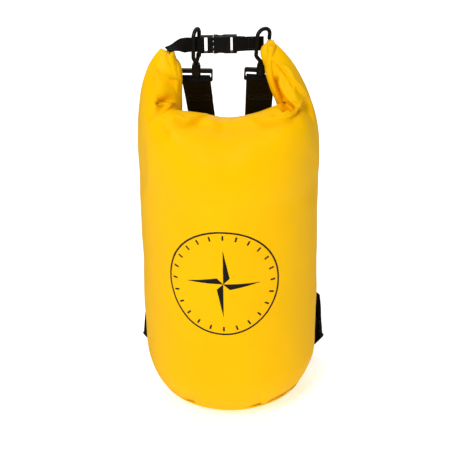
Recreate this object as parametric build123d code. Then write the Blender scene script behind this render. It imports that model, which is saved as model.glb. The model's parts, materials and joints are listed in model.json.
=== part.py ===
"""Roll-top dry bag of about 20 litres, packed, rolled shut and clipped, with shoulder straps.

Millimetres, +Z up, +X to the right of the printed front, +Y to the back, where the straps are.
The origin is the centre of the base, on the ground.
"""

from build123d import *
from math import acos, cos, degrees, radians, sin
import os

# ---- bag ----
body_radius = 125.0  # packed radius of a tube that is 393 mm wide laid flat
base_flat_radius = 65.0  # part of the base that rests on the ground
corner_height = 86.0  # the packed corner is an ellipse, this high and body_radius - base_flat_radius wide
weld_turn = 39.5  # degrees round the corner to the weld of the base, at a radius of 103
skin = 2.0  # coated fabric with its welds and folds
tube_top = 362.0  # where the tube starts to gather
shoulder_overlap = 30.0  # how far the gathered part reaches down inside the tube's outline

# The gathered shoulder and the two horns, as ovals: height, centre x, centre y, half width, half depth
shoulder_ovals = [
    (tube_top - shoulder_overlap, 0, 0, 124.6, 124.6),
    (tube_top, 0, 0, 124.8, 124.8),
    (385, 0, -27, 124, 97),
    (397, 0, -51, 122, 71),
    (410, 0, -66, 118, 52),
    (430, 0, -63, 104, 43),
    (445, 0, -61, 78, 29),
    (453, 0, -57, 40, 11),
]
left_horn_ovals = [
    (375, -80, -20, 38, 60),
    (410, -89, -22, 34, 54),
    (449, -95, -22, 27, 38),
    (475, -91, -22, 27, 28),
    (493, -86, -20, 25, 23),
    (514, -82, -15, 19, 17),
    (531, -77, -12, 11, 14),
]
right_horn_ovals = [
    (375, 82, -20, 38, 60),
    (410, 90, -22, 33, 54),
    (441, 93, -22, 29, 41),
    (454, 90, -22, 26, 36),
    (483, 77, -22, 23, 24),
    (511, 64, -16, 18, 17),
    (530, 60, -12, 13, 14),
    (541, 59, -12, 7, 13),
]

# ---- rolled mouth: a flattened roll bent into a U ----
roll_width = 30.0
roll_thickness = 14.0
roll_route = [
    (-77, -16, 531),
    (-71, -17, 508),
    (-69, -17, 485),
    (-74, -16, 462),
    (-77, -12, 446),
    (-70, -7, 424),
    (-45, -2, 404),
    (0, 0, 396),
    (45, -2, 404),
    (67, -7, 424),
    (74, -12, 446),
    (70, -16, 463),
    (62, -17, 484),
    (56, -17, 510),
    (59, -16, 541),
]
stiffener_width = 25.0
stiffener_thickness = 1.2

# ---- closure webbing and side-release buckle ----
closure_height = 535.5
closure_web_width = 20.0
closure_web_thickness = 1.6
web_gap = 0.35  # clear space between webbing and the bar it goes round
web_lap = 0.1  # from the middle to the face of each lapped layer
# The left web twists from the roll's end to the upright buckle: stations and the direction of its width
closure_twist = [
    ((-80, -12, 533.2), (0, 1, 0)),
    ((-71, -9, 534.4), (0, 1, 0.1)),
    ((-63.5, -5.5, 535.2), (0, 0.85, 0.5)),
    ((-57.5, -2.6, 535.4), (0, 0.4, 0.9)),
]
left_lap_end = -47.0
right_lap_end = 24.0
right_web_end = 49.5
buckle_thickness = 9.0
buckle_height = 26.0
prong_end = -36.0  # left end of the buckle
prong_shoulder = -18.3  # where the prong half meets the socket
socket_mouth = -17.9
socket_end = 13.5  # right end of the buckle
bar_radius = 2.0
slot_height = 21.0
guide_height = 4.4
guide_thickness = 3.2
guide_clear = 1.6  # from its tip to the end of the cavity
prong_bar_x = prong_end + bar_radius
socket_bar_x = socket_end - bar_radius
prong_slot = 6.0
socket_slot = 4.6
cavity_end = 4.6
cavity_height = 19.5
cavity_thickness = 5.0
window_start = -14.5
window_end = -2.5
scoop_radius = 11.0  # of the finger scoop above and below the windows
scoop_depth = 1.8
arm_thickness = 2.4
arm_depth = 4.2  # front to back
arm_root_offset = 7.0  # height of each arm above and below the buckle's centre
arm_pivot_x = -20.6
arm_pivot_radius = 1.5
arm_pocket_half_height = 3.0
# Outline of the upper arm from its root: x, and the height above (or below) the blade's middle
arm_outline = [
    (-12.0, -1.2),
    (-3.6, -1.6),
    (-1.0, 0.0),
    (-3.2, 2.7),
    (-4.4, 3.3),
    (-9.0, 2.5),
    (-13.2, 1.8),
]
pivot_gap = 0.3

# ---- snap hooks ----
hook_length = 79.0  # from the bottom of the frame to the top of the loop
hook_lean = 6.0  # degrees, the lower end away from the front
wire_radius = 2.7
loop_half_width = 10.0
frame_width = 45.0
frame_height = 18.5
frame_thickness = 5.0
frame_bar = 5.0
frame_slot_width = 40.4
frame_slot_height = 7.5
boss_radius = 6.0
boss_height = 5.0
boss_bottom = 9.0
shank_radius = 2.6
head_radius = 3.6  # of the shank's retained end
head_bottom = 11.2
head_top = 13.6
collar_radius = 5.2
collar_height = 2.8
neck_rise = 12.0  # from the collar to where the loop's legs run straight
swivel_gap = 0.3
gate_pivot = (8.6, 35.5)  # in the loop's plane, across and up
gate_pin_radius = 1.2
gate_eye_radius = 2.5
gate_eye_thickness = 2.8
gate_thickness = 4.6
gate_tip_gap = 0.8  # below the nose
nose_height = 60.5
left_hook_top = (-40.5, -2.0, 559.5)
right_hook_top = (50.0, -2.0, 559.0)
left_hook_tilt = 1.4  # degrees, the top to the right
right_hook_tilt = 4.0
left_loop_turn = 68.0  # degrees, of the loop about its shank, from facing the front
right_loop_turn = 34.0

# ---- shoulder straps ----
strap_width = 38.0
strap_thickness = 1.8
strap_fold_length = 72.0  # doubled webbing below the hook
strap_bar_clear = 3.7  # half size of the frame's bar, corner to corner
strap_join = 28.0  # below the bar, where the two layers come together
strap_drift = {"left": 6.0, "right": -1.5}  # to the right, from the hook to the shoulder
strap_run_start = 14.0  # above the shoulder, where the straight run begins
strap_layer_offset = 1.25  # of each layer from the middle of the doubled stretch
shoulder_point = (124.0, 369.0)  # y and z where the strap reaches the bag's back
# Down the back, as degrees behind the side, distance from the bag's axis, and height
strap_back_route = [(69, 129.6, 335), (65, 129.6, 285), (58, 129.6, 232), (49, 130.0, 180), (39, 133.0, 128)]

# ---- lower adjusters, anchor tabs and patches ----
adjuster_height = 30.0
adjuster_width = 45.0
adjuster_thickness = 4.0
adjuster_bars = [(0.0, 4.5), (12.5, 17.0), (25.5, 30.0)]  # bottom and top of each bar
adjuster_radius = 144.0  # of its middle bar from the bag's axis
adjuster_base_height = 46.0
adjuster_lean = 0.12  # mm towards the bag for each mm up
left_adjuster_angle = 33.0  # degrees behind the side
right_adjuster_angle = 27.0
tail_length = 44.0
left_tail_swing = 12.0  # towards the back
tail_lift = 2.0
patch_width = 56.0
patch_thickness = 0.8
patch_gap = 0.05
patch_bottom = 26.0
patch_top = 84.0
anchor_foot_height = 33.0
anchor_sewn_heights = (62.0, 50.0, 40.0)  # where the webbing lies on the patch
anchor_clear = 1.0  # from the patch to the webbing
# Round the foot of the loop, as distances out from and above the foot, and where the loop ends
anchor_foot_route = [(0.8, 0.4), (2.8, -1.6), (5.6, -1.4)]
anchor_end = (8.3, -2.4)
anchor_bar_clear = 3.1  # half size of the adjuster's bottom bar, corner to corner

# ---- print ----
print_height = 236.5
print_turn = -4.5  # degrees round the bag, towards the left
print_radius = 79.7  # on the flat fabric
print_line = 2.4
print_thickness = 0.3
print_lift = 0.05
print_ticks = 24
print_tick = 7.0
print_tick_gap = 3.6  # between the ring and the ticks
print_star = 52.0
print_star_waist = 9.0


def oval_face(height, centre_x, centre_y, half_width, half_depth, count=16):
    """A horizontal oval on which a soft part's outline is lofted."""
    points = []
    for step in range(count):
        angle = radians(360 * step / count)
        points.append((centre_x + half_width * cos(angle), centre_y + half_depth * sin(angle), height))
    return make_face(Spline(*points, periodic=True))


def lofted(ovals, inset=0.0):
    """A closed soft form through a list of ovals, drawn in by inset all round."""
    faces = [oval_face(z, x, y, a - inset, b - inset) for z, x, y, a, b in ovals]
    return loft(faces, ruled=True)


def ribbon(route, width, thickness):
    """Webbing along a route of (point, across) stations; across is the direction of its width."""
    points = [Vector(*point) for point, _ in route]
    runs = [(end - start).normalized() for start, end in zip(points, points[1:])]
    sections = []
    for index, (_, across) in enumerate(route):
        before = runs[max(index - 1, 0)]
        after = runs[min(index, len(runs) - 1)]
        along = (before + after).normalized()
        across = Vector(*across)
        across = (across - along * across.dot(along)).normalized()
        mitre = 1 / along.dot(after)
        section = Plane(points[index], x_dir=across, z_dir=along) * Rectangle(width, thickness * mitre)
        sections.append(section.wire())
    return Part() + Solid.make_loft(sections, ruled=True)


def bar_turn(place, half_depth, half_height, thickness, over=1):
    """Points where webbing turns over a bar, or under it, from its back to its front, in the bar's plane."""
    deep = half_depth + web_gap + thickness / 2
    high = half_height + web_gap + thickness / 2
    bevel = 0.45 * min(deep, high)
    local = [(deep, high - bevel), (deep - bevel, high), (bevel - deep, high), (-deep, high - bevel)]
    return [place.from_local_coords(Vector(0, y, over * z)) for y, z in local]


def base_radius_at(height):
    """The packed bag's outside radius at a height."""
    turn = acos(1 - height / corner_height) if height < corner_height else radians(90)
    return base_flat_radius + (body_radius - base_flat_radius) * sin(turn)


def corner_curve(inset, start, end):
    """The rounded lower corner of the packed bag, from one angle round it to another, in degrees."""
    turns = [radians(start + (end - start) * step / 6) for step in range(7)]
    points = []
    for turn in turns:
        across = base_flat_radius + (body_radius - base_flat_radius - inset) * sin(turn)
        points.append((across, corner_height - (corner_height - inset) * cos(turn)))
    return Spline(*points)


def revolved(edges, sweep_angle=360):
    return revolve(Plane.XZ * make_face(Curve() + edges), Axis.Z, revolution_arc=sweep_angle)


def box(x_range, y_range, z_range):
    (x0, x1), (y0, y1), (z0, z1) = x_range, y_range, z_range
    return Pos((x0 + x1) / 2, (y0 + y1) / 2, (z0 + z1) / 2) * Box(x1 - x0, y1 - y0, z1 - z0)


def cross_pin(x, z, radius, length):
    """A cylinder along Y."""
    return Pos(x, 0, z) * Rot(90, 0, 0) * Cylinder(radius, length)


# ---- bag ----


def make_base_panel():
    outer, inner = corner_curve(0, 0, weld_turn), corner_curve(skin, 0, weld_turn)
    floor = [Line((0, 0), outer @ 0), Line(inner @ 0, (0, skin)), Line((0, skin), (0, 0))]
    return revolved([*floor, outer, Line(outer @ 1, inner @ 1), inner])


def make_bag_tube():
    """The packed, cylindrical part of the tube, down to the weld of the base."""
    outer, inner = corner_curve(0, weld_turn, 90), corner_curve(skin, weld_turn, 90)
    rim = tube_top - shoulder_overlap
    bore = body_radius - skin
    wall = [
        Line(outer @ 1, (body_radius, rim)),
        Line((body_radius, rim), (bore, rim)),
        Line((bore, rim), inner @ 1),
    ]
    return revolved([Line(outer @ 0, inner @ 0), outer, *wall, inner])


def make_gathers():
    """The gathered shoulder as a closed skin, and the two horns that stand on it."""
    hollow_ovals = [(z - skin, *oval) for z, *oval in shoulder_ovals]
    outside = lofted(shoulder_ovals)
    horns = [lofted(ovals) - outside for ovals in (left_horn_ovals, right_horn_ovals)]
    return outside - lofted(hollow_ovals, inset=skin), *horns


def make_roll():
    route = [(point, (0, 1, 0)) for point in roll_route]
    roll = ribbon(route, roll_width, roll_thickness)
    stiffener = ribbon(route, stiffener_width, stiffener_thickness)
    return roll, stiffener


def make_print():
    """A compass dial: a ring, tick marks and a four-pointed star, printed round the bag's front."""
    across = sin(print_radius / body_radius) * body_radius / print_radius
    dial = Circle(print_radius) - Circle(print_radius - print_line)
    for step in range(print_ticks):
        middle = print_radius - print_line - print_tick_gap - print_tick / 2
        dial += Rot(0, 0, 360 * step / print_ticks) * Pos(0, middle) * Rectangle(print_line, print_tick)
    for quarter in range(4):
        point = Polygon((0, 0), (-print_star_waist, print_star_waist), (0, print_star), align=None)
        dial += Rot(0, 0, 90 * quarter) * point
    stamp = extrude(Plane.XZ * dial, body_radius * 1.2, dir=(0, -1, 0))
    stamp = scale(stamp, by=(across, 1, 1))
    inner = body_radius + print_lift
    film = Cylinder(inner + print_thickness, 3 * print_radius) - Cylinder(inner, 3 * print_radius)
    return Rot(0, 0, print_turn) * Pos(0, 0, print_height) * (film & stamp)


# ---- closure ----


def buckle_block(x0, x1, height, depth, radius):
    """A rounded block of the buckle between two places along the webbing."""
    return extrude(Plane.YZ.offset(x0) * RectangleRounded(depth, height, radius), x1 - x0)


def make_socket():
    """The half with the open mouth, two side windows and a webbing bar; its cavity is a flat box."""
    body = buckle_block(socket_mouth, socket_end, buckle_height, buckle_thickness, 3.2)
    flat = (-cavity_thickness / 2, cavity_thickness / 2)
    body -= box((socket_mouth - 1, cavity_end), flat, (-cavity_height / 2, cavity_height / 2))
    body -= box((window_start, window_end), flat, (-buckle_height, buckle_height))
    for side in (1, -1):
        scoop_z = side * (buckle_height / 2 + scoop_radius - scoop_depth)
        body -= cross_pin((window_start + window_end) / 2, scoop_z, scoop_radius, 2 * buckle_thickness)
    slot_start = socket_bar_x - bar_radius - socket_slot
    slot = (-slot_height / 2, slot_height / 2)
    body -= box((slot_start, socket_end + 1), (-buckle_thickness, buckle_thickness), slot)
    body += Pos(socket_bar_x, 0, 0) * Cylinder(bar_radius, slot_height + 1)
    return Pos(0, 0, closure_height) * body


def make_prong():
    """The half that is pushed in: a webbing bar, a block, a middle guide and two pins for the arms."""
    body = buckle_block(prong_end, prong_shoulder, buckle_height - 1, buckle_thickness - 1, 3.0)
    slot_end = prong_bar_x + bar_radius + prong_slot
    slot = (-slot_height / 2, slot_height / 2)
    body -= box((prong_end - 1, slot_end), (-buckle_thickness, buckle_thickness), slot)
    body += Pos(prong_bar_x, 0, 0) * Cylinder(bar_radius, slot_height + 1)
    guide = Box(cavity_end - guide_clear - prong_shoulder + 1, guide_thickness, guide_height)
    guide = Pos((cavity_end - guide_clear + prong_shoulder - 1) / 2, 0, 0) * guide
    body += chamfer(guide.faces().sort_by(Axis.X)[-1].edges(), 0.8)
    pocket = arm_depth / 2 + pivot_gap
    high = arm_pocket_half_height
    for side in (1, -1):
        middle = side * arm_root_offset
        body -= box((arm_pivot_x - 3, prong_shoulder + 1), (-pocket, pocket), (middle - high, middle + high))
        body += cross_pin(arm_pivot_x, middle, arm_pivot_radius, buckle_thickness - 2)
    return Pos(0, 0, closure_height) * body


def make_arm(side):
    """A flexing side tab: its root turns about a pin, and its head shows in the socket's window."""
    half = arm_thickness / 2
    outline = [(arm_pivot_x, -half), *arm_outline, (arm_pivot_x, half)]
    outline = Polyline(*[(x, arm_root_offset + z) for x, z in outline], close=True)
    blade = extrude(Plane.XZ * make_face(outline), arm_depth / 2, both=True)
    blade += cross_pin(arm_pivot_x, arm_root_offset, arm_thickness, arm_depth)
    blade -= cross_pin(arm_pivot_x, arm_root_offset, arm_pivot_radius + pivot_gap, arm_depth + 1)
    if side < 0:
        blade = mirror(blade, Plane.XY)
    return Pos(0, 0, closure_height) * blade


def make_closure_webs():
    """Each closure web goes round its buckle bar and is sewn back on itself."""
    upright = (0, 0, 1)
    layer = closure_web_thickness / 2 + web_lap
    left_bar = Plane(origin=(prong_bar_x, 0, closure_height), x_dir=(0, 0, -1), z_dir=(1, 0, 0))
    right_bar = Plane(origin=(socket_bar_x, 0, closure_height), x_dir=(0, 0, 1), z_dir=(-1, 0, 0))
    left_turn = bar_turn(left_bar, bar_radius, bar_radius, closure_web_thickness)
    right_turn = bar_turn(right_bar, bar_radius, bar_radius, closure_web_thickness)
    left = [*closure_twist, ((left_lap_end - 4, -layer, closure_height), upright)]
    left += [(point, upright) for point in reversed(left_turn)]
    left += [((left_lap_end, layer, closure_height), upright)]
    right = [((right_web_end, 0, closure_height), upright), ((right_lap_end + 6, 0, closure_height), upright)]
    right += [((right_lap_end, -layer, closure_height), upright)]
    right += [(point, upright) for point in reversed(right_turn)]
    right += [((right_lap_end, layer, closure_height), upright)]
    return [ribbon(route, closure_web_width, closure_web_thickness) for route in (left, right)]


# ---- snap hooks ----


def hook_plane(top, tilt):
    """A hook frame's own plane: origin at the middle of its bottom edge, +Z up the shank."""
    axis = Vector(sin(radians(tilt)), -sin(radians(hook_lean)), 1).normalized()
    return Plane(origin=Vector(*top) - axis * hook_length, x_dir=(1, 0, -sin(radians(tilt))), z_dir=axis)


def turned(plane, turn):
    """The plane turned about its own +Z."""
    across = plane.x_dir * cos(radians(turn)) + plane.y_dir * sin(radians(turn))
    return Plane(origin=plane.origin, x_dir=across, z_dir=plane.z_dir)


def make_hook_frame():
    slot_middle = frame_bar + frame_slot_height / 2
    face = Pos(0, frame_height / 2) * RectangleRounded(frame_width, frame_height, 3.0)
    face -= Pos(0, slot_middle) * RectangleRounded(frame_slot_width, frame_slot_height, 1.4)
    body = extrude(Plane.XZ * face, frame_thickness / 2, both=True)
    body = chamfer(body.faces().filter_by(Axis.Y).edges(), 0.7)
    top = frame_height + boss_height
    low = (Align.CENTER, Align.CENTER, Align.MIN)
    body += Pos(0, 0, boss_bottom) * Cylinder(boss_radius, top - boss_bottom, align=low)
    body -= Pos(0, 0, head_bottom) * Cylinder(shank_radius + swivel_gap, top, align=low)
    room = head_top - head_bottom + 2 * swivel_gap
    body -= Pos(0, 0, head_bottom - swivel_gap) * Cylinder(head_radius + swivel_gap, room, align=low)
    return body


def make_hook():
    """The loop with its nose and shank; the gate closes the gap between the nose and the lower leg."""
    top = hook_length - wire_radius
    collar_bottom = frame_height + boss_height + swivel_gap
    neck = collar_bottom + collar_height
    pivot_x, pivot_z = gate_pivot
    path = Plane.XZ * FilletPolyline(
        (pivot_x, pivot_z),
        (0, neck),
        (-loop_half_width, neck + neck_rise),
        (-loop_half_width, top),
        (loop_half_width, top),
        (loop_half_width, nose_height),
        radius=[2.0, 6.0, loop_half_width - 0.5, loop_half_width - 0.5],
    )
    body = sweep(Plane(origin=path @ 0, z_dir=path % 0) * Circle(wire_radius), path)
    body += Pos(loop_half_width, 0, nose_height) * Sphere(wire_radius)
    low = (Align.CENTER, Align.CENTER, Align.MIN)
    body += Pos(0, 0, collar_bottom) * Cylinder(collar_radius, collar_height, align=low)
    body += Pos(0, 0, head_bottom) * Cylinder(shank_radius, neck - head_bottom, align=low)
    body += Pos(0, 0, head_bottom) * Cylinder(head_radius, head_top - head_bottom, align=low)
    body += cross_pin(pivot_x, pivot_z, wire_radius, 2 * wire_radius)
    body -= cross_pin(pivot_x, pivot_z, wire_radius + 1.0, gate_eye_thickness + 2 * pivot_gap)
    body += cross_pin(pivot_x, pivot_z, gate_pin_radius, 2 * wire_radius - 0.4)
    return body


def make_gate():
    pivot_x, pivot_z = gate_pivot
    tip = nose_height - wire_radius - 2 - gate_tip_gap
    outline = Polygon(
        (pivot_x - 1.8, pivot_z),
        (pivot_x + 1.8, pivot_z),
        (loop_half_width + 2.0, tip),
        (loop_half_width - 1.6, tip),
        align=None,
    )
    blade = extrude(Plane.XZ * outline, gate_eye_thickness / 2, both=True)
    wide = extrude(Plane.XZ * outline, gate_thickness / 2, both=True)
    blade += wide - cross_pin(pivot_x, pivot_z, 2 * gate_eye_radius - 0.5, 2 * gate_thickness)
    blade += cross_pin(pivot_x, pivot_z, gate_eye_radius, gate_eye_thickness)
    return blade - cross_pin(pivot_x, pivot_z, gate_pin_radius + pivot_gap, gate_eye_thickness + 1)


# ---- shoulder straps ----


def on_bag(side, angle, distance, height):
    """A point behind one side of the bag, and the direction round the bag there."""
    turn = radians(angle)
    point = (side * distance * cos(turn), distance * sin(turn), height)
    return point, (sin(turn), -side * cos(turn), 0)


def adjuster_plane(side, angle):
    """The adjuster's own plane: origin at its bottom edge, +Z up the strap, +Y away from the bag."""
    point, across = on_bag(side, angle, adjuster_radius, adjuster_base_height)
    above, _ = on_bag(side, angle, adjuster_radius - adjuster_lean, adjuster_base_height + 1)
    return Plane(origin=point, x_dir=across, z_dir=Vector(*above) - Vector(*point))


def strap_run(hook, drift):
    """The straight doubled stretch: a plane at the frame's bar, +Z up the run, and the shoulder's point."""
    bar = hook.from_local_coords(Vector(0, 0, frame_bar / 2))
    shoulder = Vector(bar.X + drift, *shoulder_point)
    return Plane(origin=bar, x_dir=(1, 0, 0), z_dir=bar - shoulder), shoulder


def make_strap(side, hook, drift, angle, tail_swing):
    """One length of webbing: tail, adjuster, up the back of the bag, over the hook's bar and down again."""
    lock = adjuster_plane(side, angle)
    low, high = adjuster_bars[1]
    middle = lock.from_local_coords(Vector(0, 0, (low + high) / 2))
    middle_bar = Plane(middle, x_dir=lock.x_dir, z_dir=lock.z_dir)
    turn = bar_turn(middle_bar, adjuster_thickness / 2, (high - low) / 2, strap_thickness, over=-1)
    deep = adjuster_thickness / 2 + web_gap + strap_thickness / 2
    top = adjuster_height + 1
    half_tail = top + tail_length / 2
    tail = [
        (tail_swing, deep + tail_lift, top + tail_length),
        (tail_swing / 3, deep + tail_lift, half_tail),
        (0, deep, top),
    ]
    route = [(lock.from_local_coords(Vector(*point)), lock.x_dir) for point in tail]
    route += [(point, lock.x_dir) for point in turn]
    route += [(lock.from_local_coords(Vector(0, -deep, top)), lock.x_dir)]
    shift = angle - right_adjuster_angle
    share = len(strap_back_route)
    for index, (back_angle, distance, height) in reversed(list(enumerate(strap_back_route, 1))):
        route.append(on_bag(side, back_angle + shift * index / share, distance, height))
    run, shoulder = strap_run(hook, drift)
    length = (run.origin - shoulder).length
    route.append((shoulder, run.x_dir))
    layer = strap_layer_offset
    route.append((run.from_local_coords(Vector(0, -layer, strap_run_start - length)), run.x_dir))
    route.append((run.from_local_coords(Vector(0, -layer, -strap_join)), run.x_dir))
    over = bar_turn(run, strap_bar_clear, strap_bar_clear, strap_thickness)
    route += [(point, hook.x_dir) for point in reversed(over)]
    for down in (strap_join, strap_fold_length):
        route.append((run.from_local_coords(Vector(0, layer, -down)), run.x_dir))
    return ribbon(route, strap_width, strap_thickness)


def make_adjuster():
    face = Pos(0, adjuster_height / 2) * RectangleRounded(adjuster_width, adjuster_height, 4.0)
    for (_, low), (high, _) in zip(adjuster_bars, adjuster_bars[1:]):
        face -= Pos(0, (low + high) / 2) * RectangleRounded(frame_slot_width, high - low, 1.2)
    body = extrude(Plane.XZ * face, adjuster_thickness / 2, both=True)
    return chamfer(body.faces().filter_by(Axis.Y).edges(), 0.6)


def make_anchor(side, angle):
    """A loop of webbing from the patch, round the adjuster's bottom bar and back."""
    lock = adjuster_plane(side, angle)
    low, high = adjuster_bars[0]
    stand = patch_thickness + strap_thickness + anchor_clear
    route = [on_bag(side, angle, base_radius_at(z) + stand, z) for z in anchor_sewn_heights]
    foot = base_radius_at(anchor_foot_height) + stand
    for out, up in anchor_foot_route:
        route.append(on_bag(side, angle, foot + out, anchor_foot_height + up))
    middle = lock.from_local_coords(Vector(0, 0, (low + high) / 2))
    bar = Plane(middle, x_dir=lock.x_dir, z_dir=middle - Vector(*route[-1][0]))
    turn = bar_turn(bar, anchor_bar_clear, anchor_bar_clear, strap_thickness)
    route += [(point, lock.x_dir) for point in reversed(turn)]
    out, up = anchor_end
    route.append(on_bag(side, angle, foot + out, anchor_foot_height + up))
    return ribbon(route, strap_width, strap_thickness)


def make_patch(side, angle):
    bottom, top = (degrees(acos(1 - z / corner_height)) for z in (patch_bottom, patch_top))
    inner, outer = (corner_curve(-gap, bottom, top) for gap in (patch_gap, patch_gap + patch_thickness))
    spread = degrees(patch_width / body_radius)
    patch = revolved([inner, Line(inner @ 1, outer @ 1), outer, Line(outer @ 0, inner @ 0)], spread)
    middle = angle if side > 0 else 180 - angle
    return Rot(0, 0, middle - spread / 2) * patch


# ---- assembly ----


def build():
    parts = {"base_panel": make_base_panel()}
    roll, stiffener = make_roll()
    parts["bag_tube"] = make_bag_tube()
    gathers = zip(("gathered_shoulder", "horn_left", "horn_right"), make_gathers())
    for name, gather in gathers:
        parts[name] = (gather - roll).solids().sort_by(SortBy.VOLUME)[-1]
    parts["rolled_mouth"] = roll - stiffener
    parts["mouth_stiffener"] = stiffener
    parts["printed_dial"] = make_print()
    parts["closure_webbing_left"], parts["closure_webbing_right"] = make_closure_webs()
    parts["buckle_socket"] = make_socket()
    parts["buckle_prong"] = make_prong()
    parts["prong_arm_upper"] = make_arm(1)
    parts["prong_arm_lower"] = make_arm(-1)
    sides = [
        ("left", -1, hook_plane(left_hook_top, left_hook_tilt), left_loop_turn),
        ("right", 1, hook_plane(right_hook_top, right_hook_tilt), right_loop_turn),
    ]
    lower = {"left": (left_adjuster_angle, left_tail_swing), "right": (right_adjuster_angle, 0.0)}
    for name, side, hook, turn in sides:
        loop = turned(hook, turn)
        angle, swing = lower[name]
        drift = strap_drift[name]
        parts[f"hook_frame_{name}"] = hook * make_hook_frame()
        parts[f"hook_{name}"] = loop * make_hook()
        parts[f"hook_gate_{name}"] = loop * make_gate()
        parts[f"shoulder_strap_{name}"] = make_strap(side, hook, drift, angle, swing)
        parts[f"adjuster_{name}"] = adjuster_plane(side, angle) * make_adjuster()
        parts[f"anchor_webbing_{name}"] = make_anchor(side, angle)
        parts[f"anchor_patch_{name}"] = make_patch(side, angle)
    return parts


if __name__ == "__main__":
    os.makedirs("parts", exist_ok=True)
    for node, shape in build().items():
        shape.label = node
        export_step(shape, f"parts/{node}.step")
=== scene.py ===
import json
import math

import bmesh
import bpy
import numpy as np
from mathutils import Matrix, Vector, noise
from mathutils.bvhtree import BVHTree


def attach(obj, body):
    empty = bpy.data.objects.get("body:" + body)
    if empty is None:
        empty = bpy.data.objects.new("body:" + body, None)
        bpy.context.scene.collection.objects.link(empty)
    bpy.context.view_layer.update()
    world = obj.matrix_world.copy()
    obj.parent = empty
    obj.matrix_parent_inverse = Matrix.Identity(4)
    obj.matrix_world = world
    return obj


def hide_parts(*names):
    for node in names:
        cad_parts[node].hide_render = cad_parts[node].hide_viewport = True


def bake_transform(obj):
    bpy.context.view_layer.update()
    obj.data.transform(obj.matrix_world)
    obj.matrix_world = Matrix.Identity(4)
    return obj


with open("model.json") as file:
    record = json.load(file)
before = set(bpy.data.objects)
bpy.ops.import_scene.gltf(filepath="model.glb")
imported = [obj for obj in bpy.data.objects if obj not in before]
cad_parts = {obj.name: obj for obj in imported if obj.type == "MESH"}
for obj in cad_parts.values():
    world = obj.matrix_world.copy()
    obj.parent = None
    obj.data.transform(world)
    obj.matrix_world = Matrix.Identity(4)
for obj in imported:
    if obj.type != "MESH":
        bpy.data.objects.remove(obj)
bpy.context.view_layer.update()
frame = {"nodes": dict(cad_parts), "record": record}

# The sack stands on its base at the origin, printed front towards -Y. Sizes here are in millimetres.
MM = 0.001

# ---------------------------------------------------------------- shader writing


class Shade:
    """A socket that can be used in sums and products."""

    def __init__(self, tree, socket):
        self.tree = tree
        self.socket = socket

    def math(self, operation, *values):
        return self.tree.add("ShaderNodeMath", dict(operation=operation), **dict(zip("abc", values))).first

    def __add__(self, other):
        return self.math("ADD", self, other)

    def __radd__(self, other):
        return self.math("ADD", other, self)

    def __sub__(self, other):
        return self.math("SUBTRACT", self, other)

    def __rsub__(self, other):
        return self.math("SUBTRACT", other, self)

    def __mul__(self, other):
        return self.math("MULTIPLY", self, other)

    def __rmul__(self, other):
        return self.math("MULTIPLY", other, self)

    def __truediv__(self, other):
        return self.math("DIVIDE", self, other)

    def __rtruediv__(self, other):
        return self.math("DIVIDE", other, self)

    def __pow__(self, other):
        return self.math("POWER", self, other)

    def sin(self):
        return self.math("SINE", self)

    def abs(self):
        return self.math("ABSOLUTE", self)

    def clip(self):
        return self.math("MAXIMUM", self.math("MINIMUM", self, 1.0), 0.0)


class Node:
    def __init__(self, tree, node):
        self.tree = tree
        self.node = node

    @property
    def first(self):
        return Shade(self.tree, next(s for s in self.node.outputs if s.enabled))

    def out(self, name):
        return Shade(self.tree, self.node.outputs[name])


class Finish:
    """A material under construction: one method makes any node from its type, settings and sockets."""

    def __init__(self, name, **principled):
        self.material = bpy.data.materials.new(name)
        self.material.use_nodes = True
        self.nodes = self.material.node_tree.nodes
        self.links = self.material.node_tree.links
        self.shader = self.nodes["Principled BSDF"]
        for socket, value in principled.items():
            self.plug(self.shader.inputs[socket.replace("_", " ")], value)

    def plug(self, socket, value):
        if isinstance(value, Shade):
            self.links.new(value.socket, socket)
        else:
            socket.default_value = value

    def add(self, kind, settings=None, **sockets):
        node = self.nodes.new(kind)
        for key, value in (settings or {}).items():
            if key == "stops":
                for index, (place, colour) in enumerate(value):
                    ramp = node.color_ramp.elements
                    stop = ramp[index] if index < 2 else ramp.new(place)
                    stop.position = place
                    stop.color = colour
            else:
                setattr(node, key, value)
        open_sockets = [s for s in node.inputs if s.enabled]
        for key, value in sockets.items():
            if len(key) == 1:
                socket = open_sockets["abcdef".index(key)]
            else:
                socket = node.inputs[key.replace("_", " ")]
            self.plug(socket, value)
        return Node(self, node)

    def mix(self, share, first, second):
        settings = dict(data_type="RGBA")
        return self.add("ShaderNodeMix", settings, a=share, b=first, c=second).first

    def noise(self, where, scale, detail=3.0, roughness=0.55):
        sockets = dict(Vector=where, Scale=scale, Detail=detail, Roughness=roughness)
        return self.add("ShaderNodeTexNoise", **sockets).first

    def bump(self, height, strength, distance, under=None):
        sockets = dict(Height=height, Strength=strength, Distance=distance)
        if under is not None:
            sockets["Normal"] = under
        return self.add("ShaderNodeBump", **sockets).first

    def place(self):
        return self.add("ShaderNodeTexCoord").out("Object")

    def set(self, **sockets):
        for socket, value in sockets.items():
            self.plug(self.shader.inputs[socket.replace("_", " ")], value)
        return self.material


def coated_fabric():
    """Yellow coated fabric: satin, faintly mottled, with the grain of its backing cloth showing through."""
    finish = Finish("yellow_coated_fabric", IOR=1.18, Specular_IOR_Level=0.3)
    where = finish.place()
    broad = finish.noise(where, 9.0, 3.0)
    fine = finish.noise(where, 160.0, 2.0)
    colour = finish.mix((broad - 0.3) * 1.6, (0.93, 0.50, 0.0, 1), (1.0, 0.555, 0.0, 1))
    split = finish.add("ShaderNodeSeparateXYZ", Vector=where)
    threads = ((split.out("X") + split.out("Y")) * 5200).sin() * (split.out("Z") * 5200).sin()
    relief = threads * 0.25 + fine * 0.6 + broad
    return finish.set(
        Base_Color=colour,
        Roughness=0.36 + fine * 0.12,
        Normal=finish.bump(relief, 0.10, 0.0006),
    )


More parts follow.
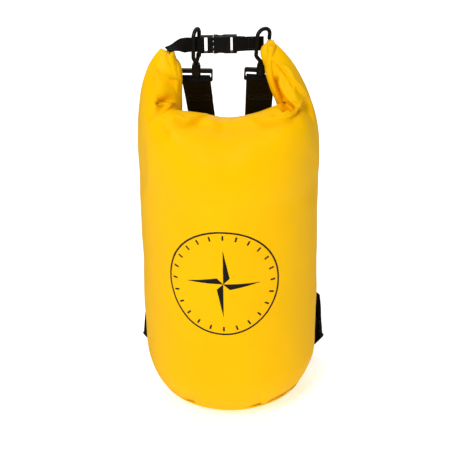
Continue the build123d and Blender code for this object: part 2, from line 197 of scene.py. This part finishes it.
def webbing_black():
    """Black woven webbing: ribs across and warp lines along, their crests painted lighter as a highlight,
    with random dusty patches.
    """
    finish = Finish("black_webbing", IOR=1.12)
    where = finish.add("ShaderNodeUVMap", dict(uv_map="lay")).first
    split = finish.add("ShaderNodeSeparateXYZ", Vector=where)
    ribs = (split.out("X") * 3900).sin().abs()
    warp = (split.out("Y") * 5600).sin().abs()
    weave = ribs * 0.6 + warp * 0.6
    dust = finish.noise(finish.place(), 60.0, 4.0)
    # colour: lighter on the weave's raised crests, which is a painted highlight, and in random dusty patches,
    # which are the webbing's own tone
    colour = finish.mix((weave * 0.5 + dust * 0.5).clip(), (0.002, 0.002, 0.002, 1), (0.010, 0.009, 0.008, 1))
    return finish.set(
        Base_Color=colour,
        Roughness=0.62 + dust * 0.2,
        Normal=finish.bump(weave, 0.55, 0.0004),
    )


def moulded_plastic():
    """Black moulded plastic: satin, with a fine spark-eroded grain and faintly lighter handling marks."""
    finish = Finish("black_moulded_plastic", IOR=1.3)
    where = finish.place()
    grain = finish.noise(where, 2600.0, 2.0)
    marks = finish.noise(where, 90.0, 5.0, 0.65)
    colour = finish.mix((marks - 0.45) * 2.2, (0.003, 0.003, 0.003, 1), (0.008, 0.008, 0.008, 1))
    return finish.set(
        Base_Color=colour,
        Roughness=0.33 + marks * 0.22,
        Normal=finish.bump(grain, 0.16, 0.0002),
    )


def screen_ink():
    """Black screen-print ink, a little thin in places."""
    finish = Finish("black_print_ink", Specular_IOR_Level=0.4)
    where = finish.place()
    thin = finish.noise(where, 220.0, 4.0)
    colour = finish.mix((thin - 0.45) * 1.5, (0.006, 0.005, 0.004, 1), (0.016, 0.013, 0.008, 1))
    return finish.set(Base_Color=colour, Roughness=0.40 + thin * 0.12, Normal=finish.bump(thin, 0.1, 0.0002))


def sewing_thread():
    finish = Finish("black_sewing_thread", Specular_IOR_Level=0.4)
    twist = finish.noise(finish.place(), 1500.0, 2.0)
    colour = finish.mix(twist, (0.006, 0.006, 0.006, 1), (0.03, 0.03, 0.03, 1))
    return finish.set(Base_Color=colour, Roughness=0.6 + twist * 0.1)


def pale_floor():
    glow = dict(Emission_Color=(1, 1, 1, 1), Emission_Strength=0.55)
    finish = Finish("pale_floor", Roughness=0.9, Specular_IOR_Level=0.0, **glow)
    tone = finish.noise(finish.place(), 2.0)
    return finish.set(Base_Color=finish.mix(tone, (0.90, 0.90, 0.90, 1), (0.92, 0.92, 0.92, 1)))


FABRIC = coated_fabric()
WEBBING = webbing_black()
PLASTIC = moulded_plastic()
INK = screen_ink()
THREAD = sewing_thread()

# ---------------------------------------------------------------- shared shape tools


def piece(name, points, faces, material, body="bag", smooth=True, lay=None):
    """A mesh piece from points in millimetres, riding on a body; lay gives places on flat webbing."""
    mesh = bpy.data.meshes.new(name)
    mesh.from_pydata([Vector(p) * MM for p in points], [], faces)
    mesh.update()
    if lay is not None:
        layer = mesh.uv_layers.new(name="lay")
        for loop in mesh.loops:
            layer.data[loop.index].uv = lay[loop.vertex_index]
    work = bmesh.new()
    work.from_mesh(mesh)
    bmesh.ops.recalc_face_normals(work, faces=work.faces)
    work.to_mesh(mesh)
    work.free()
    made = bpy.data.objects.new(name, mesh)
    bpy.context.scene.collection.objects.link(made)
    mesh.materials.append(material)
    mesh.polygons.foreach_set("use_smooth", [smooth] * len(mesh.polygons))
    if body:
        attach(made, body)
    return made


def eased(rows, steps):
    """A smooth run of rows through the given ones."""
    rows = [np.array(row, float) for row in rows]
    padded = [2 * rows[0] - rows[1], *rows, 2 * rows[-1] - rows[-2]]
    made = []
    for a, b, c, d in zip(padded, padded[1:], padded[2:], padded[3:]):
        for step in range(steps):
            t = step / steps
            bend = 2 * a - 5 * b + 4 * c - d
            twist = 3 * b - a - 3 * c + d
            made.append(0.5 * (2 * b + (c - a) * t + bend * t * t + twist * t**3))
    return made + [rows[-1]]


def skin_of(rings, pinched=False):
    """Points and faces of a closed form through rings of equal length; a pinched end is shut like a mouth."""
    count = len(rings[0])
    points = [p for ring in rings for p in ring]
    faces = []
    for row in range(len(rings) - 1):
        for k in range(count):
            a, b = row * count + k, row * count + (k + 1) % count
            faces.append((a, b, b + count, a + count))
    if pinched:
        last = (len(rings) - 1) * count
        half = count // 2
        faces.append((last, last + 1, last + count - 1))
        for k in range(1, half - 1):
            faces.append((last + k, last + k + 1, last + count - k - 1, last + count - k))
        faces.append((last + half - 1, last + half, last + half + 1))
    for row in (0,) if pinched else (0, len(rings) - 1):
        points.append(tuple(np.mean(rings[row], axis=0)))
        middle = len(points) - 1
        faces += [(row * count + k, row * count + (k + 1) % count, middle) for k in range(count)]
    return points, faces


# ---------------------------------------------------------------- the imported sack

VIEW_TILT = 26.84  # degrees that the camera looks down
RADIUS = 125.0
FLAT = 65.0
CORNER = 86.0

AROUND = 192
GATHER = 345.0  # where the round tube starts to close towards the roll

# How the sheet runs from the top of the round tube to the roll: columns from the left side round the front
# to the right side, and back round the rear. Each is a smooth curve led by two points, ending at the third.
sheet_front = [
    ((-126, -8, 440), (-121, -18, 508), (-88, -15, 537)),
    ((-122, -48, 445), (-112, -56, 508), (-62, -24, 512)),
    ((-106, -86, 440), (-98, -82, 484), (-61, -21, 462)),
    ((-78, -116, 440), (-64, -78, 508), (-60, -16, 432)),
    ((-39, -130, 440), (-34, -48, 510), (-40, -13, 411)),
    ((0, -134, 438), (0, -36, 498), (0, -13, 403)),
    ((39, -130, 440), (34, -46, 508), (40, -13, 411)),
    ((79, -116, 440), (64, -74, 512), (70, -16, 442)),
    ((107, -86, 440), (96, -80, 488), (64, -21, 474)),
    ((126, -48, 442), (106, -58, 504), (44, -23, 529)),
    ((132, -8, 440), (105, -18, 503), (60, -15, 545)),
]
sheet_rear = [
    ((126, 30, 442), (102, 14, 502), (44, -8, 529)),
    ((105, 62, 425), (94, 22, 470), (64, -6, 474)),
    ((77, 98, 395), (72, 28, 440), (70, 2, 442)),
    ((39, 115, 375), (36, 45, 410), (40, 9, 411)),
    ((0, 117, 370), (0, 50, 398), (0, 11, 401)),
    ((-39, 115, 375), (-36, 45, 410), (-40, 9, 411)),
    ((-76, 98, 395), (-70, 28, 440), (-60, 2, 432)),
    ((-104, 62, 425), (-100, 22, 470), (-61, -6, 462)),
    ((-122, 30, 440), (-110, 12, 506), (-62, -6, 512)),
]


def ring_at(height, radius):
    turns = [math.pi * (1 + 2 * k / AROUND) for k in range(AROUND)]
    return np.array([(radius * math.cos(t), radius * math.sin(t), height) for t in turns])


def around_columns(column):
    """The columns' points eased into one for each place around the sack."""
    count = len(column)
    looped = np.array([column[(k - 1) % count] for k in range(count + 3)], float)
    made = []
    for k in range(AROUND):
        place = k * count / AROUND
        index, t = int(place), place - int(place)
        a, b, c, d = looped[index : index + 4]
        made.append(
            0.5 * (2 * b + (c - a) * t + (2 * a - 5 * b + 4 * c - d) * t * t + (3 * b - a - 3 * c + d) * t**3)
        )
    return np.array(made)


def sack_rings():
    rings = []
    for step in range(1, 6):
        rings.append(ring_at(0, FLAT * step / 5))
    for turn in range(4, 91, 4):
        around = math.radians(turn)
        rings.append(ring_at(CORNER * (1 - math.cos(around)), FLAT + (RADIUS - FLAT) * math.sin(around)))
    for step in range(1, 53):
        rings.append(ring_at(CORNER + (GATHER - CORNER) * step / 52, RADIUS))
    lead, pull, end = (around_columns([c[k] for c in sheet_front + sheet_rear]) for k in range(3))
    start = rings[-1]
    for step in range(1, 49):
        t = step / 48
        left = 1 - t
        rings.append(start * left**3 + 3 * lead * t * left**2 + 3 * pull * t * t * left + end * t**3)
    return rings


def applied(made):
    """The same object with its modifiers worked into its mesh."""
    graph = bpy.context.evaluated_depsgraph_get()
    mesh = bpy.data.meshes.new_from_object(made.evaluated_get(graph))
    old = made.data
    made.modifiers.clear()
    made.data = mesh
    bpy.data.meshes.remove(old)
    return made


def vertices(made):
    where = np.zeros(len(made.data.vertices) * 3)
    made.data.vertices.foreach_get("co", where)
    return where.reshape(-1, 3) / MM


def set_vertices(made, where):
    made.data.vertices.foreach_set("co", (where * MM).ravel())
    made.data.update()


def normals(made):
    facing = np.zeros(len(made.data.vertices) * 3)
    made.data.vertices.foreach_get("normal", facing)
    return facing.reshape(-1, 3)


def ramp(value, low, high):
    t = np.clip((value - low) / (high - low), 0, 1)
    return t * t * (3 - 2 * t)


sack = piece("coated_fabric_sack", *skin_of(sack_rings(), pinched=True), FABRIC, body=None)
finer = sack.modifiers.new("finer", "SUBSURF")
finer.levels = finer.render_levels = 1
applied(sack)

# Where folds lie on the front is given as x and the height at which a line of sight passes y = 0.
SIGHT = math.tan(math.radians(VIEW_TILT))
SEEN_TILT = 0.47  # radians up from the front: a fold is pressed only into what faces this way


def folded(route, depth, wide, narrow, lip=0.0, rear=False):
    """Presses a crease in along a route: steep on its left, easing out over wide on its right."""
    global skin, facing
    route = [np.array(p, float) for p in eased(route, 6)]
    flat = np.stack([skin[:, 0], skin[:, 2] + SIGHT * skin[:, 1]], axis=1)
    best = np.full(len(flat), 1e9)
    signed = np.zeros(len(flat))
    along = np.zeros(len(flat))
    for index, (start, end) in enumerate(zip(route, route[1:])):
        run = end - start
        share = np.clip(((flat - start) @ run) / (run @ run), 0, 1)
        off = flat - (start + share[:, None] * run)
        distance = np.linalg.norm(off, axis=1)
        nearer = distance < best
        side = run[0] * off[:, 1] - run[1] * off[:, 0]
        best = np.where(nearer, distance, best)
        signed = np.where(nearer, np.where(side >= 0, distance, -distance), signed)
        along = np.where(nearer, (index + share) / (len(route) - 1), along)
    fade = ramp(along, 0.0, 0.25) * (1 - ramp(along, 0.75, 1.0))
    sunk = np.where(signed >= 0, np.exp(-((signed / narrow) ** 2)), np.exp(-((signed / wide) ** 2)))
    raised = np.exp(-(((signed - 2.0 * narrow) / (1.2 * narrow)) ** 2))
    towards = -facing[:, 1] * math.cos(SEEN_TILT) + facing[:, 2] * math.sin(SEEN_TILT)
    seen = ramp(towards, -0.05, 0.25)
    if rear:
        seen = ramp(facing[:, 1], 0.0, 0.25)
    skin = skin - facing * ((depth * sunk - lip * raised) * fade * seen)[:, None]


skin = vertices(sack)
facing = normals(sack)
swell = np.array([noise.noise(Vector(p) / 62.0) * 1.5 + noise.noise(Vector(p) / 24.0) * 0.35 for p in skin])
skin = skin + facing * (swell * ramp(skin[:, 2], 12, 60))[:, None]
# left horn: a flat face between two creases, a tucked corner below it
folded([(-101, 503), (-93, 494), (-84, 487), (-73, 481), (-58, 479)], 5.9, 15, 1.3, 2.1)
folded([(-102, 505), (-99, 488), (-98, 467), (-97, 442)], 4.2, 14, 1.4, 1.6)
folded([(-68, 450), (-80, 449), (-89, 446), (-101, 445)], 8.5, 8, 1.4, 4.2)
folded([(-76, 454), (-80, 445), (-86, 436), (-95, 428), (-108, 419)], 7.8, 15, 1.7, 2.9)
folded([(-80, 430), (-66, 421), (-54, 416), (-42, 420), (-20, 430)], 7.2, 13, 1.7, 3.1)
folded([(-90, 412), (-84, 404), (-74, 399)], 2.6, 10, 2.2, 1)
# right horn: a long crease down the outside, a thumb-like bulge above a deep notch
folded(
    [(44, 519), (58, 506), (67, 497), (79, 484),
     (92, 471), (101, 459), (110, 447), (114, 425), (120, 396)],
    5.9, 16, 1.4, 2,
)
folded([(64, 486), (68, 472), (73, 459), (80, 446), (90, 430)], 9.1, 10, 2.2, 5.2)
folded([(62, 462), (69, 452), (78, 444), (90, 436)], 6.5, 8, 1.5, 3.9)
folded([(62, 496), (72, 497), (81, 488), (85, 472), (85, 452)], 3.9, 10, 1.7, 2)
folded([(88, 440), (74, 431), (56, 420)], 5.9, 10, 1.5, 2.3)
folded([(80, 437), (91, 437), (106, 435)], 4.5, 9, 1.5, 2)
folded([(26, 426), (40, 414), (64, 416), (86, 423), (100, 440), (112, 464)], 6.5, 15, 1.8, 2.6)
# middle: soft facets under the rim
folded([(-52, 420), (-20, 409), (8, 409), (44, 417)], 2.6, 15, 4.0, 1.2)
folded([(-14, 426), (-6, 412), (-10, 396)], 1.6, 10, 4.0, 0.7)
folded([(14, 424), (4, 410), (9, 392)], 1.6, 10, 4.0, 0.7)
# wall and foot: long soft dents, and the base pulling in
folded([(-118, 400), (-116, 360), (-119, 310)], 1.6, 14, 5.0, 0.5)
folded([(112, 380), (117, 340), (114, 290)], 1.6, 14, 5.0, 0.5)
folded([(-60, -2), (-57, -22), (-60, -44)], 2.0, 9, 3.0, 0.5)
folded([(43, 2), (41, -22), (36, -46)], 2.0, 9, 3.0, 0.5)
folded([(38, -38), (62, -20), (90, 8), (110, 30), (124, 52)], 2.2, 16, 4.0, 0.6)
folded([(-46, -34), (-20, -38), (10, -38), (34, -35)], 1.4, 9, 4.0, 0.3)
set_vertices(sack, skin)
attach(sack, "bag")
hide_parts("bag_tube", "gathered_shoulder", "horn_left", "horn_right", "base_panel")

# ---------------------------------------------------------------- draped pieces: print, welds and seams

sack_points = [v.co[:] for v in sack.data.vertices]
sack_faces = [p.vertices[:] for p in sack.data.polygons]
sack_skin = BVHTree.FromPolygons(sack_points, sack_faces)


def draped(name, flat, faces, middle, lift, material):
    """Lays a flat pattern (along the wall, height) on the sack round a middle angle in degrees."""
    points = []
    for along, height in flat:
        turn = math.radians(middle - 90) + along / RADIUS
        out = Vector((math.cos(turn), math.sin(turn), 0))
        hit, facing, _, _ = sack_skin.ray_cast((out * 200 + Vector((0, 0, height))) * MM, -out)
        points.append(hit / MM + facing * lift)
    made = piece(name, points, faces, material)
    film = made.modifiers.new("film", "SOLIDIFY")
    film.thickness = 0.12 * MM
    film.offset = 0
    return made


def strip(corners, lengthwise, crosswise):
    """A grid over a four-sided flat patch."""
    a, b, c, d = (np.array(p, float) for p in corners)
    flat, faces = [], []
    for i in range(lengthwise + 1):
        for j in range(crosswise + 1):
            u, v = i / lengthwise, j / crosswise
            flat.append(tuple((a * (1 - u) + b * u) * (1 - v) + (d * (1 - u) + c * u) * v))
    step = crosswise + 1
    for i in range(lengthwise):
        for j in range(crosswise):
            faces.append((i * step + j, (i + 1) * step + j, (i + 1) * step + j + 1, i * step + j + 1))
    return flat, faces


def gathered(patches):
    flat, faces = [], []
    for more, sides in patches:
        faces += [tuple(i + len(flat) for i in side) for side in sides]
        flat += more
    return flat, faces


RING_STEPS = 120
TICKS = 24
WAIST = 12.7  # how far from the middle the star's inner corners lie
POINT = 52.0  # and its tips


def compass_dial(height, radius, line):
    """A ring, tick marks and a four-pointed star with split points."""
    patches = []

    def polar(turn, out):
        return (out * math.sin(turn), height + out * math.cos(turn))

    for step in range(RING_STEPS):
        a, b = (2 * math.pi * k / RING_STEPS for k in (step, step + 1))
        corners = (polar(a, radius - line), polar(b, radius - line), polar(b, radius), polar(a, radius))
        patches.append(strip(corners, 1, 1))
    for step in range(TICKS):
        turn = 2 * math.pi * step / TICKS
        half = line / 2 / (radius - 8)
        low, high = (radius - 13, radius - 6)
        before, after = turn - half, turn + half
        corners = (polar(before, low), polar(before, high), polar(after, high), polar(after, low))
        patches.append(strip(corners, 3, 1))
    for quarter in range(4):
        turn = math.pi / 2 * quarter
        middle = (0, height)
        waist = polar(turn + math.pi / 4, WAIST)
        tip = polar(turn, POINT)
        patches.append(strip((middle, tip, polar(turn, POINT - 0.1), waist), 14, 4))
    return gathered(patches)


dial = draped("compass_print", *compass_dial(236.5, 79.7, 2.4), -4.5, 0.15, INK)
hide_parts("printed_dial")

seam = draped("rear_weld_seam", *strip(((-6, 22), (-6, 346), (6, 346), (6, 22)), 90, 4), 180, 0.45, FABRIC)


def base_weld():
    rings = []
    for turn, proud in ((36.5, 0.05), (37.2, 0.7), (38.5, 0.95), (40.5, 0.95), (41.8, 0.7), (42.5, 0.05)):
        around = math.radians(turn)
        across = FLAT + (RADIUS - FLAT + proud) * math.sin(around)
        rings.append(ring_at(CORNER - (CORNER + proud) * math.cos(around), across))
    points = [p for ring in rings for p in ring]
    faces = []
    for row in range(len(rings) - 1):
        for k in range(AROUND):
            a, b = row * AROUND + k, row * AROUND + (k + 1) % AROUND
            faces.append((a, b, b + AROUND, a + AROUND))
    return points, faces


weld = piece("base_weld", *base_weld(), FABRIC)

# ---------------------------------------------------------------- the rolled mouth

roll_route = [
    (-77, -16, 531),
    (-71, -17, 508),
    (-69, -17, 485),
    (-74, -16, 462),
    (-77, -12, 446),
    (-70, -7, 424),
    (-45, -2, 404),
    (0, 0, 396),
    (45, -2, 404),
    (67, -7, 424),
    (74, -12, 446),
    (70, -16, 463),
    (62, -17, 484),
    (56, -17, 510),
    (59, -16, 541),
]


def unit(vector):
    return np.array(vector, float) / np.linalg.norm(vector)


def rolled_mouth():
    """The mouth wound flat on itself, three turns of one sheet, bent into a U."""
    centre = []
    for step in range(145):
        turns = step / 48
        wide, deep = 14.2 - 1.85 * turns, 6.3 - 1.85 * turns
        angle = 2 * math.pi * turns - 0.6
        c, s = math.cos(angle), math.sin(angle)
        centre.append((wide * math.copysign(abs(c) ** 0.75, c), max(deep, 0.3) * s))
    centre = np.array(centre)
    run = np.gradient(centre, axis=0)
    aside = np.stack([-run[:, 1], run[:, 0]], axis=1) / np.linalg.norm(run, axis=1, keepdims=True)
    outline = np.concatenate([centre - aside * 0.7, (centre + aside * 0.7)[::-1]])
    route = np.array(eased(roll_route, 5))
    rings = []
    for index, place in enumerate(route):
        along = unit(route[min(index + 1, len(route) - 1)] - route[max(index - 1, 0)])
        inward = unit(np.cross(along, (0, 1, 0)))
        rings.append([place + np.array((0, 1, 0)) * u + inward * v for u, v in outline])
    count = len(outline)
    points, faces = skin_of(rings)
    sides = [face for face in faces if len(face) == 4]
    ends = []
    for start in (0, (len(rings) - 1) * count):
        for k in range(count // 2 - 1):
            a, b = start + k, start + count - 1 - k
            ends.append((a, a + 1, b - 1, b))
    return points[: len(rings) * count], sides + ends


roll = piece("rolled_mouth_turns", *rolled_mouth(), FABRIC)
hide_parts("rolled_mouth", "mouth_stiffener")

# ---------------------------------------------------------------- webbing


class Place:
    """A local frame: x across the webbing, z up along it, y towards the rear."""

    def __init__(self, origin, across, up):
        self.origin = np.array(origin, float)
        self.z = unit(up)
        self.x = unit(np.array(across, float) - self.z * np.dot(across, self.z))
        self.y = np.cross(self.z, self.x)

    def at(self, x, y, z):
        return self.origin + self.x * x + self.y * y + self.z * z


BAR_GAP = 0.35  # between webbing and the bar it turns round


def bar_turn(place, clear, thickness, over=1):
    reach = clear + BAR_GAP + thickness / 2
    bevel = 0.45 * reach
    side = reach - bevel
    corners = [(reach, side), (side, reach), (-side, reach), (-reach, side)]
    return [place.at(0, y, over * z) for y, z in corners]


def softened(stations, rounds=3):
    """Rounds the corners of a run of (point, across) stations and leaves its straight stretches straight."""
    rows = [np.concatenate([point, across]) for point, across in stations]
    for _ in range(rounds):
        cut = [rows[0]]
        for a, b in zip(rows, rows[1:]):
            cut += [a * 0.75 + b * 0.25, a * 0.25 + b * 0.75]
        rows = cut + [rows[-1]]
    return rows


def webbing(name, stations, width, thickness, node, ride_on="bag"):
    """Flat woven webbing along stations, with selvedges a little fuller than the middle."""
    rows = softened(stations)
    half, thin = width / 2, thickness / 2
    section = [(-half, -0.3 * thin), (-half + 0.5, -thin), (-half + 1.6, -0.92 * thin), (0, -0.9 * thin)]
    section += [(-x, y) for x, y in reversed(section[:3])]
    section += [(x, -y) for x, y in reversed(section)]
    rings, lay = [], []
    travelled = 0.0
    for index, row in enumerate(rows):
        before, after = rows[max(index - 1, 0)], rows[min(index + 1, len(rows) - 1)]
        along = unit(after[:3] - before[:3])
        across = unit(row[3:] - along * np.dot(row[3:], along))
        up = np.cross(along, across)
        if index:
            travelled += np.linalg.norm(row[:3] - before[:3])
        rings.append([row[:3] + across * x + up * y for x, y in section])
        lay += [(travelled * MM, x * MM) for x, _ in section]
    points, faces = skin_of(rings)
    lay += [lay[0], lay[-1]]
    made = piece(name, points, faces, WEBBING, body=None, lay=lay)
    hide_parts(node)
    if ride_on:
        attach(made, ride_on)
    return made


def on_sack(side, angle, distance, height):
    turn = math.radians(angle)
    across = (math.sin(turn), -side * math.cos(turn), 0)
    return np.array((side * distance * math.cos(turn), distance * math.sin(turn), height)), np.array(across)


def adjuster_place(side, angle):
    point, across = on_sack(side, angle, 144.0, 46.0)
    above, _ = on_sack(side, angle, 144.0 - 0.12, 47.0)
    return Place(point, across, above - point)


def hook_place(top, tilt):
    up = unit((math.sin(math.radians(tilt)), -math.sin(math.radians(6)), 1))
    return Place(np.array(top) - up * 79, (1, 0, -math.sin(math.radians(tilt))), up)


back_route = [(69, 129.6, 335), (65, 129.6, 285), (58, 129.6, 232), (49, 130.0, 180), (39, 133.0, 128)]


def shoulder_strap(side, hook, drift, angle, swing):
    """Tail, adjuster, up the back of the sack, over the hook's bar and down again."""
    lock = adjuster_place(side, angle)
    deep = 2.0 + 0.35 + 0.9
    middle = Place(lock.at(0, 0, 14.75), lock.x, lock.z)
    route = [(lock.at(swing, deep + 2, 75), lock.x), (lock.at(swing / 3, deep + 2, 53), lock.x)]
    route += [(lock.at(0, deep, 31), lock.x)]
    route += [(point, lock.x) for point in bar_turn(middle, 2.1, 1.8, over=-1)]
    route += [(lock.at(0, -deep, 31), lock.x)]
    for index, (turn, distance, height) in reversed(list(enumerate(back_route, 1))):
        route.append(on_sack(side, turn + (angle - 27.0) * index / 5, distance, height))
    bar = hook.at(0, 0, 2.5)
    shoulder = np.array((bar[0] + drift, 124.0, 369.0))
    run = Place(bar, (1, 0, 0), bar - shoulder)
    length = np.linalg.norm(bar - shoulder)
    route += [(shoulder, run.x), (run.at(0, -1.25, 14 - length), run.x), (run.at(0, -1.25, -28), run.x)]
    route += [(point, hook.x) for point in reversed(bar_turn(run, 3.7, 1.8))]
    return route + [(run.at(0, 1.25, -28), run.x), (run.at(0, 1.25, -72), run.x)], run


BAR_HEIGHT = 33.0  # where the anchor webbing leaves the wall for the adjuster's bar


def anchor_loop(side, angle):
    """From the patch, round the adjuster's bottom bar and back."""
    lock = adjuster_place(side, angle)

    def wall(height):
        turn = math.acos(1 - height / CORNER) if height < CORNER else math.pi / 2
        return FLAT + (RADIUS - FLAT) * math.sin(turn) + 3.6

    route = [on_sack(side, angle, wall(z), z) for z in (62.0, 50.0, 40.0)]
    foot = wall(BAR_HEIGHT)
    for out, up in ((0.8, 0.4), (2.8, -1.6), (5.6, -1.4)):
        route.append(on_sack(side, angle, foot + out, BAR_HEIGHT + up))
    middle = lock.at(0, 0, 2.25)
    bar = Place(middle, lock.x, middle - route[-1][0])
    route += [(point, lock.x) for point in reversed(bar_turn(bar, 3.1, 1.8))]
    return route + [on_sack(side, angle, foot + 8.3, 30.6)]


left_hook = hook_place((-40.5, -2.0, 559.5), 1.4)
right_hook = hook_place((50.0, -2.0, 559.0), 4.0)
runs = {}
for name, side, hook, drift, angle, swing in (
    ("left", -1, left_hook, 6.0, 33.0, 12.0),
    ("right", 1, right_hook, -1.5, 27.0, 0.0),
):
    route, runs[name] = shoulder_strap(side, hook, drift, angle, swing)
    webbing(f"shoulder_webbing_{name}", route, 38.0, 1.8, f"shoulder_strap_{name}")
    webbing(f"anchor_loop_{name}", anchor_loop(side, angle), 38.0, 1.8, f"anchor_webbing_{name}")

CLOSURE = 535.5
upright = (0, 0, 1)
left_bar = Place((-34.0, 0, CLOSURE), (0, 0, -1), (1, 0, 0))
left_web = [
    ((-80, -12, 533.2), (0, 1, 0)),
    ((-71, -9, 534.4), (0, 1, 0.1)),
    ((-63.5, -5.5, 535.2), (0, 0.85, 0.5)),
    ((-57.5, -2.6, 535.4), (0, 0.4, 0.9)),
    ((-51, -0.9, CLOSURE), upright),
]
left_web += [(point, upright) for point in reversed(bar_turn(left_bar, 2.0, 1.6))]
left_web += [((-47, 0.9, CLOSURE), upright)]
closure_left = webbing("closure_web_left", left_web, 20.0, 1.6, "closure_webbing_left", ride_on=None)
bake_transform(closure_left)

right_bar = Place((11.5, 0, CLOSURE), upright, (-1, 0, 0))
right_web = [((49.5, 0, CLOSURE), upright), ((30, 0, CLOSURE), upright), ((24, -0.9, CLOSURE), upright)]
right_web += [(point, upright) for point in reversed(bar_turn(right_bar, 2.0, 1.6))]
right_web += [((24, 0.9, CLOSURE), upright)]
webbing("closure_web_right", right_web, 20.0, 1.6, "closure_webbing_right")


def stitching(name, rows, pitch=3.4, length=2.5, bead=0.42, ride_on="bag"):
    """Rows of stitches: each row runs from one point to another, just proud of the webbing."""
    points, faces = [], []
    for start, end, out in rows:
        start, end, out = (np.array(v, float) for v in (start, end, out))
        total = np.linalg.norm(end - start)
        along, out = unit(end - start), unit(out)
        aside = np.cross(along, out)
        for number in range(int(total / pitch)):
            middle = start + along * (number + 0.5) * pitch
            base = len(points)
            for place, size in ((-0.5, 0.35), (-0.3, 1.0), (0.3, 1.0), (0.5, 0.35)):
                for k in range(6):
                    turn = math.pi * k / 3
                    spread = aside * math.cos(turn) + out * math.sin(turn)
                    points.append(middle + along * place * length + spread * bead * size)
            for ring in range(3):
                for k in range(6):
                    a, b = base + ring * 6 + k, base + ring * 6 + (k + 1) % 6
                    faces.append((a, b, b + 6, a + 6))
            faces += [tuple(base + k for k in range(6)), tuple(base + 18 + k for k in range(6))]
    made = piece(name, points, faces, THREAD, body=ride_on)


def boxed(place, width, low, high, lift):
    """A sewn box with a cross, on the face of webbing at the given height above its middle."""
    half = width / 2
    corners = [place.at(x, lift, z) for x, z in ((-half, low), (half, low), (half, high), (-half, high))]
    out = place.y * (1 if lift > 0 else -1)
    pairs = ((0, 1), (1, 2), (2, 3), (3, 0), (0, 2), (1, 3))
    return [(corners[a], corners[b], out) for a, b in pairs]


for name in ("left", "right"):
    rows = boxed(runs[name], 30, -68, -50, 2.3) + boxed(runs[name], 30, -68, -50, -2.3)
    stitching(f"strap_stitching_{name}", rows)
closure_rows = []
for height in (CLOSURE - 7, CLOSURE + 7):
    closure_rows += [((25, -1.0, height), (41, -0.85, height), (0, -1, 0))]
for x in (25.5, 28.5):
    closure_rows += [((x, -1.05, CLOSURE - 8), (x, -1.05, CLOSURE + 8), (0, -1, 0))]
stitching("closure_stitching", closure_rows, pitch=2.6, length=1.9, bead=0.3)

# ---------------------------------------------------------------- carried-over hardware

for name, node in frame["nodes"].items():
    if node.hide_render:
        continue
    slot = next(s["material_slot"] for s in frame["record"]["subparts"] if s["node"] == name)
    finish = dict(webbing=WEBBING, plastic=PLASTIC, print=INK).get(slot, FABRIC)
    node.data.materials.clear()
    node.data.materials.append(finish)

# ---------------------------------------------------------------- floor, light and camera

FAR = 9000
floor_corners = [(-FAR, -FAR, 0), (FAR, -FAR, 0), (FAR, FAR, 0), (-FAR, FAR, 0)]
floor = piece("floor", floor_corners, [(0, 1, 2, 3)], pale_floor(), body=None)
floor.visible_glossy = False


def softbox(name, place, aim, width, height, power):
    data = bpy.data.lights.new(name, "AREA")
    data.shape = "RECTANGLE"
    data.size = width
    data.size_y = height
    data.energy = power
    made = bpy.data.objects.new(name, data)
    made.location = place
    made.rotation_mode = "QUATERNION"
    made.rotation_quaternion = (Vector(aim) - Vector(place)).to_track_quat("-Z", "Y")
    bpy.context.scene.collection.objects.link(made)


softbox("key", (-0.75, -1.7, 1.9), (0, 0, 0.28), 0.6, 0.6, 31)
softbox("fill", (1.9, -1.5, 1.0), (0, 0, 0.25), 1.2, 1.2, 5)
softbox("top", (0.0, 0.2, 2.3), (0, 0, 0.3), 1.4, 1.4, 14)
softbox("rear", (0.0, 2.2, 1.6), (0, 0.6, 0), 2.4, 1.2, 18)

world = bpy.data.worlds.new("studio")
bpy.context.scene.world = world
world.use_nodes = True
world.node_tree.nodes["Background"].inputs["Color"].default_value = (1, 1, 1, 1)
world.node_tree.nodes["Background"].inputs["Strength"].default_value = 0.22
bpy.context.scene.view_settings.view_transform = "Standard"

target = Vector((-0.1, 0, 256.9)) * MM
elevation = math.radians(VIEW_TILT)
back = Vector((0, -math.cos(elevation), math.sin(elevation)))
camera = bpy.data.objects.new("camera", bpy.data.cameras.new("camera"))
camera.data.lens = 109.8
camera.data.sensor_width = 36
camera.location = target + back * 2.0
camera.rotation_mode = "QUATERNION"
roll = Matrix.Rotation(math.radians(-0.83), 3, "Z").to_quaternion()
camera.rotation_quaternion = (-back).to_track_quat("-Z", "Y") @ roll
bpy.context.scene.collection.objects.link(camera)
bpy.context.scene.camera = camera
